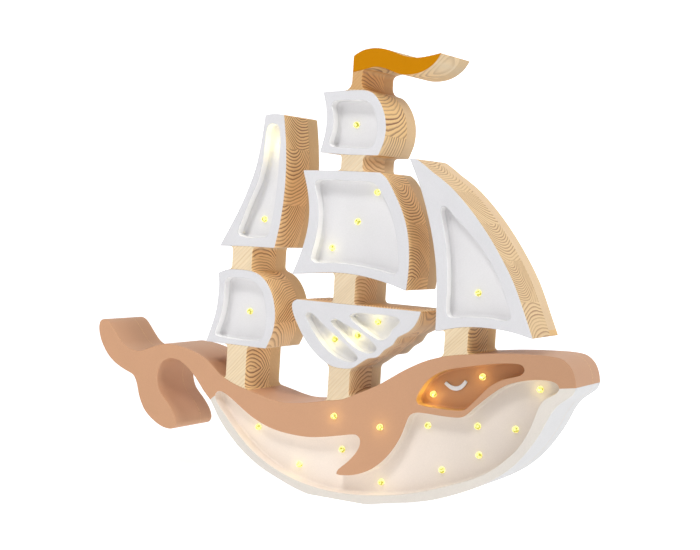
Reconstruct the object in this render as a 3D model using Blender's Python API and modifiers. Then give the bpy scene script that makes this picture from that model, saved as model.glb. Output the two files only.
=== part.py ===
"""Wooden night lamp in the shape of a ship whose hull is a whale, lit by 25 small LEDs.

All sizes are in millimetres and are scaled to metres as they reach Blender. Outlines are drawn
in the plane of the front face as (x, z) points. "Depth" is the distance behind the front face.
The origin is at the middle of the base: +X towards the bow, +Y towards the back, +Z up.
"""
import math

import bmesh
import bpy

MM = 0.001
GAP = 0.3                # clearance between pieces that touch
FLAT = math.radians(0.2) # faces that differ by less than this are one flat face
DEPTH = 55.0             # front face to back face
LAYER = 38.0             # thickness of the front layer of wood
BACK = LAYER + GAP       # depth at which the rear layer starts
POCKET = 11.0            # depth of the light pockets in the sails, the belly and the eye
POST_WIDTH = 20.0
TENON = 12.0             # how far a mast's tenon goes down into the hull
TENON_WIDTH = 10.0
TENON_DEPTHS = (42.0, 51.0)
PAST = 1.0               # how far a cutter passes the face that it opens

LED_RADIUS = 2.5
LED_LENGTH = 7.6         # flange to tip
LED_FLANGE = 1.0
LED_SLEEVE = 1.5         # radius of the sleeve over the legs
LED_WEB = 4.0            # wood left in front of an LED's flange
LED_PROUD = LED_LENGTH - LED_WEB - 0.3   # height of a dome above the floor around it
BORE_CLEARANCE = 0.4
WIRE_RADIUS = 1.0
WIRE_DEPTH = 34.7        # depth of every wire's centre line
CHANNEL_WIDTH = 4.0

COVER_THICK = 2.5
SCREW_LENGTH = 12.0
SCREW_RADIUS = 1.3
SCREW_HEAD = 2.8
SCREW_SUNK = 0.2         # how far a screw's head lies below the cover
SCREW_SLOT = (4.0, 0.6, 0.7)   # length, width and depth of the slot in a head
COVER_X = (-23.7, 75.7)
COVER_Z = (11.8, 70.2)
CAVITY_X = (-16.0, 68.0)
CAVITY_Z = (17.0, 65.0)
CAVITY_DEPTH = 36.0      # depth of the battery cavity's front wall
HOLDER_X = (-15.0, 39.0)
HOLDER_Z = (18.0, 64.0)
HOLDER_WALL = 1.0
CELL_RADIUS = 7.1
CELL_LENGTH = 50.0
CELL_PITCH = 14.6
CELL_NIPPLE = (2.7, 1.2) # radius and height
BOARD_X = (42.5, 65.5)
BOARD_Z = (20.0, 62.0)
BOARD_THICK = 1.6
SWITCH_HALF = 6.0
SWITCH_END = 47.0        # depth of the switch's back face
BUTTON_AT = (54.0, 41.0)
BUTTON_RADIUS = 6.5
BUTTON_LIP = 1.4         # height and width of the lip that keeps the button behind the cover
BUTTON_STEM = 3.0
BUTTON_END = 54.8        # depth of the button's face
BUTTON_CHAMFER = 0.6
BUTTON_TRAVEL = 1.5

# Each outline is a list of smooth runs. Two runs meet at a corner.
HULL = [
    [(227.5, 115.2), (226.5, 121.5), (223, 129.5), (216, 135.2), (207, 136.7), (190, 136.3),
     (165, 134.5), (140, 131.4), (118, 127.4), (100, 121.4), (80, 110.6), (61, 98.4), (40, 88),
     (28, 82.4), (14, 79.9), (-5, 75.8), (-30, 73.2), (-52, 77), (-76, 82.5), (-92, 88.9),
     (-106, 99.6), (-120, 105.8), (-138, 109.5), (-154, 109.8), (-168, 105.3), (-180, 100.9),
     (-190, 101.4), (-199, 105.5), (-208, 115), (-216, 123.3), (-222, 125.3), (-226.2, 123.4),
     (-227.5, 117), (-225.5, 109), (-222, 102), (-214, 92.3), (-204, 85.7), (-194, 81.6),
     (-186, 78.4), (-182, 72), (-178.5, 61), (-172, 49.5), (-163, 42), (-152, 36.8),
     (-144, 35.7), (-139, 37), (-136.6, 41.5), (-139.5, 49.5), (-147, 58.5), (-155.5, 67),
     (-159.2, 77), (-158.2, 88), (-152.5, 95.4), (-143, 98), (-132, 94.6), (-120, 85.4),
     (-109.5, 73.7), (-101, 65.4), (-92.5, 52.8), (-80, 39), (-64, 26), (-46, 15.6),
     (-28, 8.6), (-12, 3.2), (2, 0)],
    [(2, 0), (54, 0)],
    [(54, 0), (75, 4), (95, 7.8), (115, 13), (135, 20.6), (154, 29.6), (170, 39.5),
     (184, 52), (195, 66.5), (203, 80), (208.5, 92), (214, 100), (220.5, 105.6),
     (225.6, 110), (227.5, 115.2)]]
BELLY = [
    [(27, 20.8), (28.4, 24.6), (35, 30.5), (42.5, 38.7), (46.8, 46.5), (46.8, 52.5), (43, 55.2),
     (36.5, 54.4), (20, 50.9), (0, 47.6), (-20, 47.6), (-40, 50.4), (-60, 58.1), (-79, 69.6),
     (-88, 74.2), (-93, 75), (-96.6, 72.8), (-96.4, 68), (-87.5, 57.5), (-74, 43.6),
     (-60, 31.6), (-42, 20.8), (-20, 12.4), (0, 7.8), (20, 5.8), (42, 6.2), (62, 8.4),
     (84, 12.3), (105, 18), (127, 25.9), (148, 34.6), (163, 43.2), (175, 53.5), (184, 63.4),
     (191.2, 75.7), (196, 88), (199.6, 98.4), (204.5, 104.4), (211.8, 109), (214.4, 113.2),
     (211.6, 116.8), (204, 118.1), (188.6, 116.4), (172, 111), (160, 102.6), (146, 90),
     (137.5, 82.2), (130, 80.5), (113, 80.4), (97, 80.2), (91, 77.6), (88, 71.4),
     (84, 60), (77, 47.5), (68, 36.8), (57, 28.2), (44, 22.6), (34, 20.7), (27, 20.8)]]
EYE = [
    [(97.4, 87.3), (95.6, 90.6), (98, 97), (105, 107.4), (118, 116), (134, 120.4),
     (157, 125.4), (176, 128), (183.6, 127.2), (185.5, 123.6), (182.5, 119.8), (169, 115),
     (158, 108.4), (150, 100), (143, 92.4), (138, 87.8), (131, 86.2), (112, 86), (97.4, 87.3)]]
EYELID = [(115.2, 105.6), (117.8, 104), (121.2, 102.3), (125.2, 102), (128.8, 103.4), (131.4, 106),
          (133.3, 109)]
EYELID_WIDTH = 3.5
EYELID_THICK = 0.8

MIZZEN_UPPER = [
    [(-62, 312.6), (-64.3, 291.5), (-68.4, 269), (-75, 250), (-84, 230), (-100.8, 199.8)],
    [(-100.8, 199.8), (-72, 201.2), (-45.7, 201.6)],
    [(-45.7, 201.6), (-41.4, 223), (-39, 247), (-38.7, 270), (-40.6, 293), (-43.6, 313.2)],
    [(-43.6, 313.2), (-53, 313.8), (-62, 312.6)]]
MIZZEN_UPPER_POCKET = [
    [(-83, 212.2), (-80, 222), (-73, 240), (-66, 256), (-61.6, 275), (-60, 296), (-58.6, 303.6),
     (-53.5, 305.6), (-48.4, 303.6), (-46.6, 295), (-46, 268), (-47, 246), (-50.2, 222),
     (-52.6, 212.6), (-56.5, 209.7), (-78.5, 209.4), (-83, 212.2)]]
MIZZEN_LOWER = [
    [(-109.6, 116.6), (-104.5, 131), (-101, 144), (-99.6, 158), (-99.8, 170), (-101, 176.6)],
    [(-101, 176.6), (-92, 180), (-80, 181), (-68, 180.6), (-59.5, 178.2), (-52.5, 173.2),
     (-46.5, 165), (-42.4, 154), (-41, 142), (-43, 129), (-48.4, 116.4)],
    [(-48.4, 116.4), (-109.6, 116.6)]]
MIZZEN_LOWER_POCKET = [
    [(-101, 124), (-97.4, 135), (-94.6, 148), (-93.6, 161), (-93.4, 170), (-90.4, 173.3),
     (-80, 174), (-69, 173.6), (-61.5, 170.6), (-55.5, 164), (-51.6, 154), (-50, 142),
     (-50.8, 130), (-53.2, 124.3), (-57.5, 122.3), (-97, 122), (-101, 124)]]
TOP_SAIL = [
    [(-6.9, 283), (-3.3, 297), (-2.2, 308), (-3.3, 320), (-6.9, 332.6)],
    [(-6.9, 332.6), (17, 334.2), (31, 334.6), (39, 332.6), (45.5, 326.2), (50.6, 317),
     (53, 306), (52, 294), (47.6, 282.6)],
    [(47.6, 282.6), (20, 282.1), (-6.9, 283)]]
TOP_SAIL_POCKET = [
    [(1.4, 291.4), (3.6, 300), (4.3, 308), (3.5, 316), (1.6, 322.4), (4.6, 325.7), (20, 326.4),
     (32, 326.4), (37.6, 324.2), (42.2, 317.2), (45, 307), (44.4, 296), (42, 289.8),
     (38.4, 288.2), (20, 287.8), (4.6, 288.2), (1.4, 291.4)]]
MAIN_SAIL = [
    [(-26.7, 181.2), (-19.6, 199), (-15, 216), (-13.6, 233), (-16, 250), (-21.6, 267.9)],
    [(-21.6, 267.9), (15, 268.9), (50.5, 268.9)],
    [(50.5, 268.9), (56.5, 264.4), (66, 250.6), (74, 235.6), (79, 220), (81.2, 203),
     (81.3, 189), (80.3, 175.8)],
    [(80.3, 175.8), (62, 180.8), (38, 184.8), (12, 185.4), (-10, 183), (-26.7, 181.2)]]
MAIN_SAIL_POCKET = [
    [(-9.4, 195.4), (-7, 207), (-4.9, 220), (-4.5, 233), (-6.8, 246), (-9.8, 257.4),
     (-7, 260.4), (20, 261), (42, 261), (47, 259), (55.6, 248), (62.6, 235.6), (68, 221),
     (71, 205), (72.2, 192.4), (69.6, 188.5), (55, 190.2), (34, 192.6), (12, 193.4),
     (-5.6, 192.4), (-9.4, 195.4)]]
FAN_SAIL = [
    [(94.8, 160.6), (-20.5, 160.6)],
    [(-20.5, 160.6), (-24.6, 157.4), (-24, 150.4), (-18.6, 140), (-10.5, 128.2),
     (0, 118), (14, 109.4), (25, 107.8), (36, 109.2), (43, 114), (50, 118.4), (58, 120.4),
     (64, 126.6), (71.5, 131.8), (75.5, 138), (84, 143), (90, 149), (93.2, 155.4),
     (94.8, 160.6)]]
FAN_LEAVES = [
    [[(-11.4, 148.6), (-8.4, 142.8), (2, 130), (14, 119.8), (26, 114.6), (36, 113.9),
      (40.4, 117.4), (36, 122.6), (20, 132.8), (6, 142.2), (-4, 149.4), (-8.6, 150.8),
      (-11.4, 148.6)]],
    [[(13, 145.2), (22, 137.2), (33, 128.6), (43, 123.6), (52, 123), (57.2, 127),
      (54, 131.4), (42, 138.6), (28, 143.6), (17, 147.6), (13, 145.2)]],
    [[(30.4, 151), (40, 143.6), (52, 137), (60, 134.4), (66, 137), (71, 144.6),
      (76.4, 150.6), (73.6, 154), (54, 154.6), (35, 153.8), (30.4, 151)]]]
JIB_SAIL = [
    [(108.3, 146.2), (107.9, 165), (106.6, 187), (103.4, 208), (97.4, 231), (88, 257),
     (76.2, 281.2)],
    [(76.2, 281.2), (82.5, 280.6), (96, 272), (113, 260.8), (130, 245.4), (146, 227.4),
     (160, 208.4), (172, 189), (182, 167.4), (190.4, 148.2)],
    [(190.4, 148.2), (172, 151.8), (150, 153.1), (130, 151.4), (108.3, 146.2)]]
JIB_POCKET = [
    [(106.4, 241.4), (109.4, 229), (112.6, 214.4), (115, 197), (116.2, 178), (116.4, 163.4),
     (119.4, 158.6), (134, 159.8), (152, 160.8), (167.4, 160), (171.4, 163), (167, 174.4),
     (160, 190.4), (148, 208.6), (134, 224), (118, 238), (111, 244.4), (107.4, 244.6),
     (106.4, 241.4)]]
PENNANT = [
    [(19.7, 362.3), (28, 366.8), (40, 368.6), (52, 366.8), (64, 362.8), (77, 361),
     (90, 362.9), (98.3, 364.8)],
    [(98.3, 364.8), (93.6, 357.6), (84.6, 350.9), (74, 347.8), (62, 348), (50, 352),
     (40, 353.5), (30, 351.2)],
    [(30, 351.2), (19.7, 349)],
    [(19.7, 349), (19.7, 362.3)]]

SAILS = {
    "mizzen_upper_sail": (MIZZEN_UPPER, [MIZZEN_UPPER_POCKET], POCKET),
    "mizzen_lower_sail": (MIZZEN_LOWER, [MIZZEN_LOWER_POCKET], POCKET),
    "top_sail": (TOP_SAIL, [TOP_SAIL_POCKET], POCKET),
    "main_sail": (MAIN_SAIL, [MAIN_SAIL_POCKET], POCKET),
    "fan_sail": (FAN_SAIL, FAN_LEAVES, POCKET),
    "jib_sail": (JIB_SAIL, [JIB_POCKET], POCKET)}
# mast: the sails it carries, and its posts as (middle x, width, bottom z, top z)
MASTS = {
    "mizzen_mast": (["mizzen_lower_sail", "mizzen_upper_sail"], [(-77, POST_WIDTH, 70, 215)]),
    "main_mast": (["fan_sail", "main_sail", "top_sail"],
                  [(24.2, POST_WIDTH, 70, 300), (24.2, 9, 300, 356)]),
    "fore_mast": (["jib_sail"], [(127, POST_WIDTH, 115, 165)])}
# host: its LEDs as (x, z, depth of the floor that they stand on)
LEDS = {
    "mizzen_upper_sail": [(-63.5, 225, POCKET), (-49.9, 290, POCKET)],
    "mizzen_lower_sail": [(-72.9, 145.4, POCKET)],
    "top_sail": [(20.4, 307.2, POCKET)],
    "main_sail": [(4.5, 205.2, POCKET), (27, 228.2, POCKET), (43.5, 253, POCKET)],
    "fan_sail": [(12.2, 129.9, POCKET), (33.6, 135, POCKET), (51.5, 148, POCKET)],
    "jib_sail": [(138.4, 178.9, POCKET)],
    "hull_front": [(22, 68, 0), (65, 64.5, 0), (-57.6, 47.5, POCKET), (-14.7, 21.3, POCKET),
                   (25.3, 39.6, POCKET), (63.5, 18, POCKET), (117, 35.8, POCKET),
                   (148, 52, POCKET), (102.2, 69.5, POCKET), (145.3, 74.6, POCKET),
                   (177.2, 76.3, POCKET), (195.2, 109.4, POCKET), (105.4, 95.2, POCKET),
                   (146.8, 113.7, POCKET)]}
# each wire passes behind the LEDs that it feeds, and ends at the control board
WIRES = {
    "mizzen_harness": [(45, 54), (-12, 57), (-45, 66), (-70, 76), (-77, 86), (-77, 116),
                       (-72.9, 145.4), (-77, 172), (-77, 196), (-63.5, 225), (-56, 256),
                       (-49.9, 290)],
    "main_harness": [(46, 60), (34, 66), (22, 68), (24, 80), (24, 104), (12.2, 129.9),
                     (33.6, 135), (51.5, 148), (28, 156), (24, 166), (24, 184), (4.5, 205.2),
                     (27, 228.2), (43.5, 253), (30, 264), (24, 274), (24, 284),
                     (20.4, 307.2)],
    "fore_harness": [(58, 60), (65, 64.5), (82, 88), (105.4, 95.2), (122, 112), (127, 122),
                     (127, 146), (138.4, 178.9)],
    "stern_harness": [(45, 46), (25.3, 39.6), (-14.7, 21.3), (-57.6, 47.5)],
    "bow_harness": [(63, 50), (102.2, 69.5), (145.3, 74.6), (146.8, 113.7), (195.2, 109.4),
                    (177.2, 76.3), (148, 52), (117, 35.8), (63.5, 18)]}

STEPS = 2                # straight pieces between two points of an outline
ROUND = 12               # sides of a small bore
SCREW_AT = [(-20, 20), (-20, 62), (72, 20), (72, 62)]


def clear_scene():
    for old in list(bpy.data.objects):
        bpy.data.objects.remove(old, do_unlink=True)


def new_collection(name):
    made = bpy.data.collections.new(name)
    bpy.context.scene.collection.children.link(made)
    return made


def paint(obj, name, colour, roughness, metallic=0.0, glow=0.0):
    """Give an object a Principled material, made once for each name."""
    material = bpy.data.materials.get(name)
    if material is None:
        material = bpy.data.materials.new(name)
        material.use_nodes = True
        shader = material.node_tree.nodes["Principled BSDF"]
        shader.inputs["Base Color"].default_value = (*colour, 1)
        shader.inputs["Roughness"].default_value = roughness
        shader.inputs["Metallic"].default_value = metallic
        shader.inputs["Emission Color"].default_value = (*colour, 1)
        shader.inputs["Emission Strength"].default_value = glow
    obj.data.materials.clear()
    obj.data.materials.append(material)


def place(obj, is_cutter):
    """Move an object into the collection of the parts or into that of the cutters."""
    for holder in list(obj.users_collection):
        holder.objects.unlink(obj)
    (CUTTERS if is_cutter else PARTS).objects.link(obj)
    if is_cutter:
        obj.hide_render = True
        obj.display_type = "WIRE"
    return obj


def behind(depth):
    """World y, in metres, of a depth behind the front face.

    y is 0 midway between the back and the tips of the LEDs that stand on the hull's front face.
    """
    return (depth - (DEPTH - LED_PROUD) / 2) * MM


def smooth(points):
    """Centripetal Catmull-Rom curve through an open or closed run of points."""
    closed = points[0] == points[-1]
    before = points[-2] if closed else tuple(2 * a - b for a, b in zip(points[0], points[1]))
    after = points[1] if closed else tuple(2 * a - b for a, b in zip(points[-1], points[-2]))
    knots = [before, *points, after]
    curve = []
    for p0, p1, p2, p3 in zip(knots, knots[1:], knots[2:], knots[3:]):
        t1 = math.dist(p0, p1) ** 0.5
        t2 = t1 + math.dist(p1, p2) ** 0.5
        t3 = t2 + math.dist(p2, p3) ** 0.5
        for step in range(STEPS):
            t = t1 + (t2 - t1) * step / STEPS
            a1 = mix(p0, p1, t / t1)
            a2 = mix(p1, p2, (t - t1) / (t2 - t1))
            a3 = mix(p2, p3, (t - t2) / (t3 - t2))
            b1 = mix(a1, a2, t / t2)
            b2 = mix(a2, a3, (t - t1) / (t3 - t1))
            curve.append(mix(b1, b2, (t - t1) / (t2 - t1)))
    return curve


def mix(a, b, share):
    return tuple(u + (v - u) * share for u, v in zip(a, b))


def outline(runs):
    """Closed loop of points from smooth runs that meet at corners."""
    loop = []
    for run in runs:
        loop += smooth(run) if len(run) > 2 else run[:1]
    return loop


def signed_area(loop):
    return sum(a[0] * b[1] - b[0] * a[1] for a, b in zip(loop, loop[1:] + loop[:1])) / 2


def grown(loop, by):
    """The loop moved outwards by a clearance."""
    turn = 1 if signed_area(loop) > 0 else -1
    moved = []
    for before, here, after in zip(loop[-1:] + loop[:-1], loop, loop[1:] + loop[:1]):
        dx, dz = after[0] - before[0], after[1] - before[1]
        size = math.hypot(dx, dz)
        moved.append((here[0] + turn * dz / size * by, here[1] - turn * dx / size * by))
    return moved


def as_mesh(curve_object, name, is_cutter):
    """Turn a curve object into a mesh object whose caps are welded on."""
    bpy.context.view_layer.update()
    evaluated = curve_object.evaluated_get(bpy.context.evaluated_depsgraph_get())
    mesh = bpy.data.meshes.new_from_object(evaluated)
    work = bmesh.new()
    work.from_mesh(mesh)
    bmesh.ops.remove_doubles(work, verts=work.verts, dist=0.01 * MM)
    bmesh.ops.recalc_face_normals(work, faces=work.faces)
    work.to_mesh(mesh)
    work.free()
    obj = bpy.data.objects.new(name, mesh)
    obj.matrix_world = curve_object.matrix_world
    bpy.context.scene.collection.objects.link(obj)
    bpy.data.objects.remove(curve_object, do_unlink=True)
    return place(obj, is_cutter)


def slab(name, loop, near, far, is_cutter=False):
    """A flat outline with thickness, from one depth to another."""
    data = bpy.data.curves.new(name, "CURVE")
    data.dimensions = "2D"
    data.fill_mode = "BOTH"
    data.extrude = (far - near) / 2 * MM
    spline = data.splines.new("POLY")
    spline.points.add(len(loop) - 1)
    for point, (x, z) in zip(spline.points, loop):
        point.co = (x * MM, z * MM, 0, 1)
    spline.use_cyclic_u = True
    curve_object = bpy.data.objects.new(name + "_outline", data)
    curve_object.rotation_euler = (math.pi / 2, 0, 0)
    curve_object.location = (0, behind((near + far) / 2), 0)
    bpy.context.scene.collection.objects.link(curve_object)
    return as_mesh(curve_object, name, is_cutter)


def tube(name, route, radius, depth):
    """A round tube along a route that stays at one depth."""
    data = bpy.data.curves.new(name, "CURVE")
    data.dimensions = "3D"
    data.bevel_depth = radius * MM
    data.bevel_resolution = 2
    data.use_fill_caps = True
    spline = data.splines.new("POLY")
    spline.points.add(len(route) - 1)
    for point, (x, z) in zip(spline.points, route):
        point.co = (x * MM, behind(depth), z * MM, 1)
    curve_object = bpy.data.objects.new(name + "_route", data)
    bpy.context.scene.collection.objects.link(curve_object)
    return as_mesh(curve_object, name, False)


def block(name, across, upward, near, far, is_cutter=False):
    """A box: its x range, its z range and its two depths."""
    bpy.ops.mesh.primitive_cube_add(size=1)
    obj = bpy.context.object
    obj.name = name
    obj.dimensions = ((across[1] - across[0]) * MM, (far - near) * MM, (upward[1] - upward[0]) * MM)
    obj.location = (sum(across) / 2 * MM, behind((near + far) / 2), sum(upward) / 2 * MM)
    bpy.ops.object.transform_apply(location=False, rotation=False, scale=True)
    return place(obj, is_cutter)


def turned(name, profile, at, sides, is_cutter=False):
    """A turned piece about an axis that runs front to back.

    The profile lists (radius, depth) from the frontmost point to the rearmost one.
    """
    mesh = bpy.data.meshes.new(name)
    top = profile[0][1]
    points = [(radius * MM, 0, (top - depth) * MM) for radius, depth in profile]
    mesh.from_pydata(points, [(i, i + 1) for i in range(len(points) - 1)], [])
    obj = bpy.data.objects.new(name, mesh)
    obj.rotation_euler = (math.pi / 2, 0, 0)
    obj.location = (at[0] * MM, behind(top), at[1] * MM)
    bpy.context.scene.collection.objects.link(obj)
    screw = obj.modifiers.new("turn", "SCREW")
    screw.steps = screw.render_steps = sides
    screw.use_merge_vertices = True
    screw.merge_threshold = 0.01 * MM
    screw.use_smooth_shade = False
    return place(obj, is_cutter)


def boolean(obj, other, operation):
    modifier = obj.modifiers.new(other.name, "BOOLEAN")
    modifier.operation = operation
    modifier.object = other
    modifier.solver = "EXACT"


def cut(obj, *cutters):
    for cutter in cutters:
        boolean(obj, cutter, "DIFFERENCE")


def join(obj, *others):
    for other in others:
        boolean(obj, other, "UNION")


def merge_flat_faces(obj):
    """Merge the slivers that the cuts leave on flat faces. This modifier comes last."""
    modifier = obj.modifiers.new("merge_flat_faces", "DECIMATE")
    modifier.decimate_type = "DISSOLVE"
    modifier.angle_limit = FLAT


def led_bore(name, x, z, floor):
    """Stepped hole for an LED: its body in front, its flange and sleeve behind."""
    body, flange = LED_RADIUS + BORE_CLEARANCE, LED_RADIUS + 3 * BORE_CLEARANCE
    shoulder = floor + LED_WEB
    end = LAYER + PAST
    profile = [(0, floor - PAST), (body, floor - PAST), (body, shoulder), (flange, shoulder),
               (flange, end), (0, end)]
    return turned(name, profile, (x, z), ROUND, is_cutter=True)


def led(name, x, z, floor):
    """A 5 mm LED with a domed lens and a flange, its legs in a round sleeve."""
    flange = floor + LED_WEB + GAP
    tip = flange - LED_LENGTH
    sleeve_end = WIRE_DEPTH - WIRE_RADIUS - GAP
    profile = []
    for turn in (0, 35, 65, 90):
        angle = math.radians(turn)
        profile.append((LED_RADIUS * math.sin(angle), tip + LED_RADIUS * (1 - math.cos(angle))))
    profile += [(LED_RADIUS, flange), (LED_RADIUS + BORE_CLEARANCE, flange),
                (LED_RADIUS + BORE_CLEARANCE, flange + LED_FLANGE),
                (LED_SLEEVE, flange + LED_FLANGE), (LED_SLEEVE, sleeve_end), (0, sleeve_end)]
    lamp = turned(name, profile, (x, z), 8)
    paint(lamp, "amber_led_lens", (1.0, 0.85, 0.25), 0.2, glow=2.0)


def band(line, halves):
    """Closed outline of a line, with its half width at each point, and mitred corners."""
    sides = ([], [])
    for number, (here, half) in enumerate(zip(line, halves)):
        before, after = line[max(number - 1, 0)], line[min(number + 1, len(line) - 1)]
        into = math.atan2(here[1] - before[1], here[0] - before[0])
        out = math.atan2(after[1] - here[1], after[0] - here[0])
        if before == here:
            into = out
        if after == here:
            out = into
        turn = (out - into + math.pi) % (2 * math.pi) - math.pi
        normal = into + turn / 2 + math.pi / 2
        reach = half / math.cos(turn / 2)
        for side, way in zip(sides, (1, -1)):
            side.append((here[0] + way * reach * math.cos(normal),
                         here[1] + way * reach * math.sin(normal)))
    return sides[0] + sides[1][::-1]


def make_channels():
    """Square grooves, open at the back of the front layer, with the wires on their floors."""
    floor = WIRE_DEPTH - WIRE_RADIUS - GAP
    return [slab(name + "_channel", band(route, [CHANNEL_WIDTH / 2] * len(route)), floor,
                 LAYER + PAST, True) for name, route in WIRES.items()]


def make_wires():
    for name, route in WIRES.items():
        wire = tube(name, route, WIRE_RADIUS, WIRE_DEPTH)
        paint(wire, "wire_insulation", (0.6, 0.03, 0.03), 0.45)


def make_sails(channels):
    """The front block of each sail, with its light pockets, LEDs and wire channel."""
    for name, (shape, pockets, floor) in SAILS.items():
        sail = slab(name, outline(shape), 0, LAYER)
        for number, pocket in enumerate(pockets, 1):
            cut(sail, slab(f"{name}_pocket_{number}", outline(pocket), -PAST, floor, True))
        fit_leds(sail, name, channels)
        paint(sail, "white_sail_paint", (0.8, 0.8, 0.85), 0.5)


def fit_leds(host, name, channels):
    """Bore a host for its LEDs, put the LEDs in and open the wire channels behind them."""
    for number, (x, z, floor) in enumerate(LEDS[name], 1):
        cut(host, led_bore(f"{name}_bore_{number}", x, z, floor))
        led(f"led_{name}_{number}", x, z, floor)
    cut(host, *channels)


def make_masts(channels):
    """Each mast: its full-depth posts, and the rear layer of the sails that it carries."""
    hull_room = slab("hull_room", grown(outline(HULL), GAP), -PAST, DEPTH + PAST, True)
    pennant_room = slab("pennant_room", grown(outline(PENNANT), GAP), -PAST, DEPTH + PAST, True)
    sail_rooms = {}
    for name, (shape, _, _) in SAILS.items():
        sail_rooms[name] = slab(name + "_room", grown(outline(shape), GAP), -PAST, BACK, True)
    for name, (carried, posts) in MASTS.items():
        x, width, low, high = posts[0]
        mast = block(name, (x - width / 2, x + width / 2), (low, high), 0, DEPTH)
        for number, (x, width, low, high) in enumerate(posts[1:], 1):
            join(mast, block(f"{name}_staff_{number}", (x - width / 2, x + width / 2),
                             (low - PAST, high), 0, DEPTH, True))
        cut(mast, *[sail_rooms[sail] for sail in carried], hull_room)
        if name == "main_mast":
            cut(mast, pennant_room)
        for sail in carried:
            join(mast, slab(sail + "_back", outline(SAILS[sail][0]), BACK, DEPTH, True))
        cut(mast, *channels)
        join(mast, tenon(name + "_tenon", posts[0], 0))
        paint(mast, "natural_pine", (0.72, 0.47, 0.22), 0.6)


def tenon(name, post, clearance):
    """The tongue under a mast, or with a clearance the mortise that takes it."""
    x = post[0]
    deck = deck_height(x)
    half = TENON_WIDTH / 2 + clearance
    root = 4                # overlap with the post above the deck
    return block(name, (x - half, x + half), (deck - TENON - clearance, deck + root),
                 TENON_DEPTHS[0] - clearance, TENON_DEPTHS[1] + clearance, True)


def deck_height(x):
    """Height of the hull's top edge at one x."""
    loop = outline(HULL)
    heights = []
    for (x1, z1), (x2, z2) in zip(loop, loop[1:] + loop[:1]):
        if min(x1, x2) <= x < max(x1, x2):
            heights.append(z1 + (z2 - z1) * (x - x1) / (x2 - x1))
    return max(heights)


def make_hull(channels):
    front = slab("hull_front", outline(HULL), 0, LAYER)
    cut(front, slab("belly_pocket", outline(BELLY), -PAST, POCKET, True))
    cut(front, slab("eye_pocket", outline(EYE), -PAST, POCKET, True))
    rear = slab("hull_rear", outline(HULL), BACK, DEPTH)
    cavity = block("battery_cavity", CAVITY_X, CAVITY_Z, CAVITY_DEPTH, DEPTH + PAST, True)
    fit_leds(front, "hull_front", channels)
    cut(front, cavity)
    recess = block("cover_recess", (COVER_X[0] - GAP, COVER_X[1] + GAP),
                   (COVER_Z[0] - GAP, COVER_Z[1] + GAP), DEPTH - COVER_THICK - GAP,
                   DEPTH + PAST, True)
    cut(rear, cavity, recess, *screw_tool("pilot", GAP))
    for name, (_, posts) in MASTS.items():
        cut(rear, tenon(name + "_mortise", posts[0], GAP))
    for piece in (front, rear):
        paint(piece, "brown_hull_paint", (0.6, 0.34, 0.19), 0.55)
    arc = smooth(EYELID) + EYELID[-1:]
    widths = [EYELID_WIDTH * (0.38 + 0.12 * math.sin(math.pi * number / (len(arc) - 1)))
              for number in range(len(arc))]
    lid = slab("eyelid", band(arc, widths), POCKET - GAP - EYELID_THICK, POCKET - GAP)
    paint(lid, "white_eyelid_paint", (0.85, 0.83, 0.82), 0.5)


def make_pennant():
    pennant = slab("pennant", outline(PENNANT), 0, DEPTH)
    paint(pennant, "ochre_pennant_paint", (0.6, 0.24, 0.0), 0.5)


def screw_profile(clearance):
    """Countersunk screw, from its point (in front) to its head (behind)."""
    face = DEPTH - SCREW_SUNK
    shank, head = SCREW_RADIUS + clearance, SCREW_HEAD + clearance
    point, cone, rim = 2.0, 1.8, 0.3
    return [(0, face - SCREW_LENGTH - clearance), (shank, face - SCREW_LENGTH + point),
            (shank, face - cone), (head, face - rim), (head, face + clearance), (0, face + clearance)]


def screw_tool(name, clearance):
    return [turned(f"{name}_{number}", screw_profile(clearance), at, ROUND, True)
            for number, at in enumerate(SCREW_AT, 1)]


def make_cover():
    cover = block("battery_cover", COVER_X, COVER_Z, DEPTH - COVER_THICK, DEPTH)
    hole = BUTTON_RADIUS + 2 * GAP
    window = turned("button_hole", [(0, DEPTH - 2 * COVER_THICK), (hole, DEPTH - 2 * COVER_THICK),
                                    (hole, DEPTH + PAST), (0, DEPTH + PAST)], BUTTON_AT, 24, True)
    cut(cover, window, *screw_tool("countersink", GAP))
    paint(cover, "black_cover_plastic", (0.03, 0.03, 0.03), 0.5)
    for number, at in enumerate(SCREW_AT, 1):
        screw = turned(f"cover_screw_{number}", screw_profile(0), at, ROUND)
        long, wide, deep = SCREW_SLOT
        slot = block(f"screw_slot_{number}", (at[0] - long / 2, at[0] + long / 2),
                     (at[1] - wide / 2, at[1] + wide / 2), DEPTH - SCREW_SUNK - deep, DEPTH + PAST, True)
        cut(screw, slot)
        paint(screw, "zinc_screw", (0.7, 0.7, 0.72), 0.3, metallic=1.0)


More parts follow.
